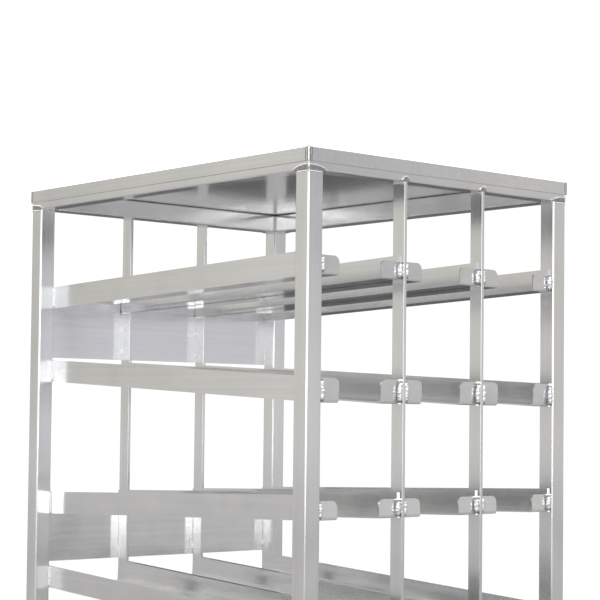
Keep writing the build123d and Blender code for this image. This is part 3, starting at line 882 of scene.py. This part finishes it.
def world_light():
    """A pale studio: white to the eye, and soft large panels in what the metal reflects."""
    world = bpy.data.worlds.new("studio")
    bpy.context.scene.world = world
    nodes = Nodes(world)
    direction = nodes.add("ShaderNodeTexCoord").outputs["Generated"]
    axes = nodes.add("ShaderNodeSeparateXYZ")
    nodes.link(direction, axes.inputs["Vector"])
    height = axes.outputs["Z"]

    def toward(vector, whole, gone):
        """1 where the direction is near the vector, falling to 0; whole and gone are cosines."""
        dot = nodes.add("ShaderNodeVectorMath", operation="DOT_PRODUCT")
        nodes.link(direction, dot.inputs[0])
        dot.inputs[1].default_value = Vector(vector).normalized()
        node = nodes.add("ShaderNodeMapRange", interpolation_type="SMOOTHSTEP")
        node.inputs["From Min"].default_value = gone
        node.inputs["From Max"].default_value = whole
        nodes.link(dot.outputs["Value"], node.inputs["Value"])
        return node.outputs["Result"]

    def layer(below, factor, colour):
        node = nodes.add("ShaderNodeMix", data_type="RGBA")
        nodes.link(factor, node.inputs["Factor"])
        nodes.link(below, node.inputs["A"])
        node.inputs["B"].default_value = (*colour, 1.0)
        return node.outputs["Result"]

    floor_to_sky = nodes.add("ShaderNodeMapRange", interpolation_type="SMOOTHSTEP")
    floor_to_sky.inputs["From Min"].default_value = -0.5
    floor_to_sky.inputs["From Max"].default_value = 0.15
    nodes.link(height, floor_to_sky.inputs["Value"])
    seen = nodes.blend(floor_to_sky.outputs["Result"], (0.2, 0.2, 0.21), (0.42, 0.42, 0.43))
    for vector, whole, gone, colour in WALL_PANELS:
        seen = layer(seen, toward(vector, whole, gone), colour)
    seen = layer(seen, nodes.spread(height, 0.0, 1.0, start=0.42, end=0.6), (0.58, 0.58, 0.6))
    for vector, whole, gone, colour in HIGH_PANELS:
        seen = layer(seen, toward(vector, whole, gone), colour)
    low_band = nodes.spread(height, 1.0, 0.0, start=0.13, end=0.27)
    wall = nodes.math("MULTIPLY", toward(BEHIND_CAMERA, 0.7, 0.5), low_band)
    seen = layer(seen, wall, (2.1, 2.13, 2.2))
    seen = layer(seen, toward(BEHIND_CAMERA, 0.985, 0.945), (0.85, 0.86, 0.88))
    seen = layer(seen, toward(UP, 0.97, 0.86), (0.42, 0.42, 0.43))
    reflected = nodes.add("ShaderNodeBackground")
    nodes.link(seen, reflected.inputs["Color"])
    plain = nodes.add("ShaderNodeBackground")
    plain.inputs["Color"].default_value = (1.0, 1.0, 1.0, 1.0)
    plain.inputs["Strength"].default_value = 1.05
    path = nodes.add("ShaderNodeLightPath")
    mix = nodes.add("ShaderNodeMixShader")
    nodes.link(path.outputs["Is Camera Ray"], mix.inputs["Fac"])
    nodes.link(reflected.outputs["Background"], mix.inputs[1])
    nodes.link(plain.outputs["Background"], mix.inputs[2])
    nodes.link(mix.outputs["Shader"], nodes.add("ShaderNodeOutputWorld").inputs["Surface"])


FLOOR_RADIUS = 30.0
FLOOR_GLOW = 1.08
FLOOR_GLOW_SHARE = 0.75
AWAY_FROM_CAMERA = (0.65, 0.76, 0.0)
SHADE_ENDS = 11.5
FAR_FLOOR = 19.0


def floor():
    """A pale floor that reaches past the view and is transparent from below.

    To the eye it is almost white. What the metal reflects is grey, dark on the side away from the
    camera, and turns light between SHADE_ENDS and FAR_FLOOR from the middle.
    """
    mesh = bmesh.new()
    bmesh.ops.create_circle(mesh, cap_ends=True, segments=96, radius=FLOOR_RADIUS)
    data = bpy.data.meshes.new("floor")
    mesh.to_mesh(data)
    mesh.free()
    ground = bpy.data.objects.new("floor", data)
    bpy.context.scene.collection.objects.link(ground)
    material, nodes, coords = new_material("floor_paint")
    mottle = nodes.noise(coords, scale=3.0, detail=3.0)
    pale = nodes.add("ShaderNodeBsdfDiffuse")
    nodes.link(nodes.blend(mottle, (0.80, 0.80, 0.80), (0.84, 0.84, 0.84)), pale.inputs["Color"])
    glow = nodes.add("ShaderNodeEmission")
    glow.inputs["Strength"].default_value = FLOOR_GLOW
    lit = nodes.add("ShaderNodeMixShader")
    lit.inputs["Fac"].default_value = FLOOR_GLOW_SHARE
    nodes.link(pale.outputs["BSDF"], lit.inputs[1])
    nodes.link(glow.outputs["Emission"], lit.inputs[2])
    away = nodes.add("ShaderNodeVectorMath", operation="NORMALIZE")
    nodes.link(coords, away.inputs[0])
    facing = nodes.add("ShaderNodeVectorMath", operation="DOT_PRODUCT")
    facing.inputs[1].default_value = AWAY_FROM_CAMERA
    nodes.link(away.outputs["Vector"], facing.inputs[0])
    shaded = nodes.spread(facing.outputs["Value"], 0.0, 1.0, start=0.5, end=0.95)
    near = nodes.blend(shaded, (0.5, 0.49, 0.49), (0.1, 0.1, 0.103))
    reach = nodes.add("ShaderNodeVectorMath", operation="LENGTH")
    nodes.link(coords, reach.inputs[0])
    beyond = nodes.spread(reach.outputs["Value"], 0.0, 1.0, start=SHADE_ENDS, end=FAR_FLOOR)
    seen = nodes.add("ShaderNodeMix", data_type="RGBA")
    nodes.link(beyond, seen.inputs["Factor"])
    nodes.link(near, seen.inputs["A"])
    seen.inputs["B"].default_value = (0.76, 0.76, 0.79, 1.0)
    dim = nodes.add("ShaderNodeEmission")
    nodes.link(seen.outputs["Result"], dim.inputs["Color"])
    path = nodes.add("ShaderNodeLightPath")
    mix = nodes.add("ShaderNodeMixShader")
    nodes.link(path.outputs["Is Camera Ray"], mix.inputs["Fac"])
    nodes.link(dim.outputs["Emission"], mix.inputs[1])
    nodes.link(lit.outputs["Shader"], mix.inputs[2])
    underside = nodes.add("ShaderNodeMixShader")
    nodes.link(nodes.add("ShaderNodeNewGeometry").outputs["Backfacing"], underside.inputs["Fac"])
    nodes.link(mix.outputs["Shader"], underside.inputs[1])
    nodes.link(nodes.add("ShaderNodeBsdfTransparent").outputs["BSDF"], underside.inputs[2])
    nodes.link(underside.outputs["Shader"], nodes.add("ShaderNodeOutputMaterial").inputs["Surface"])
    data.materials.append(material)


def area_light(name, place, target, width, height, power):
    """A rectangular lamp at a place, turned towards its target."""
    light = bpy.data.lights.new(name, "AREA")
    light.shape = "RECTANGLE"
    light.size = width
    light.size_y = height
    light.energy = power
    lamp = bpy.data.objects.new(name, light)
    lamp.location = place
    lamp.rotation_mode = "QUATERNION"
    lamp.rotation_quaternion = (Vector(target) - Vector(place)).to_track_quat("-Z", "Y")
    bpy.context.scene.collection.objects.link(lamp)


# ---- camera ----

# Solved from the photo's straight edges. The camera looks along CAMERA_AZIMUTH, turned from +Y
# towards -X, and sees the front left post's outer corner along CAMERA_BEARING, turned from +Y
# towards +X. The lens is in millimetres, and the rise is a shift as a share of the sensor's width.
CAMERA_AZIMUTH = math.radians(-40.69)
CAMERA_PITCH = math.radians(2.45)
CAMERA_ROLL = math.radians(0.625)
CAMERA_BEARING = math.radians(40.91)
CAMERA_DISTANCE = 3.045
CAMERA_HEIGHT = 0.592
SENSOR_WIDTH = 36.0
CAMERA_LENS = 106.1
CAMERA_RISE = 0.0667


def camera():
    """Camera off the front left corner, tilted up a little; returns where it stands."""
    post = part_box("post_front_left")[0]
    data = bpy.data.cameras.new("camera")
    data.sensor_width = SENSOR_WIDTH
    data.lens = CAMERA_LENS
    data.shift_y = CAMERA_RISE
    data.clip_end = 100.0
    eye = bpy.data.objects.new("camera", data)
    back = Vector((-math.sin(CAMERA_BEARING), -math.cos(CAMERA_BEARING), 0)) * CAMERA_DISTANCE
    place = Vector((post.x, post.y, CAMERA_HEIGHT)) + back
    level = Vector((-math.sin(CAMERA_AZIMUTH), math.cos(CAMERA_AZIMUTH), 0))
    ahead = level * math.cos(CAMERA_PITCH) + Vector((0, 0, math.sin(CAMERA_PITCH)))
    right = Vector((math.cos(CAMERA_AZIMUTH), math.sin(CAMERA_AZIMUTH), 0))
    up = right.cross(ahead)
    tilted_right = right * math.cos(CAMERA_ROLL) + up * math.sin(CAMERA_ROLL)
    tilted_up = up * math.cos(CAMERA_ROLL) - right * math.sin(CAMERA_ROLL)
    turn = Matrix((tilted_right, tilted_up, -ahead)).transposed()
    eye.matrix_world = Matrix.Translation(place) @ turn.to_4x4()
    bpy.context.scene.collection.objects.link(eye)
    bpy.context.scene.camera = eye
    return place


bpy.context.scene.view_settings.view_transform = "Standard"
world_light()
floor()
eye_place = camera()
over_the_eye = eye_place + Vector((-0.1, -0.1, 2.3))
under_the_eye = eye_place + Vector((-0.1, -0.1, -0.22))
over_the_rack = (0, 0, 4.2)
upper_rack = (0, 0, 0.9)
middle = (CAD_BOX[0] + CAD_BOX[1]) / 2
area_light("flash_softbox", over_the_eye, upper_rack, width=0.8, height=0.8, power=30.0)
area_light("camera_fill", under_the_eye, upper_rack, width=0.7, height=0.42, power=3.0)
area_light("overhead_panel", over_the_rack, middle, width=4.0, height=4.0, power=14.0)
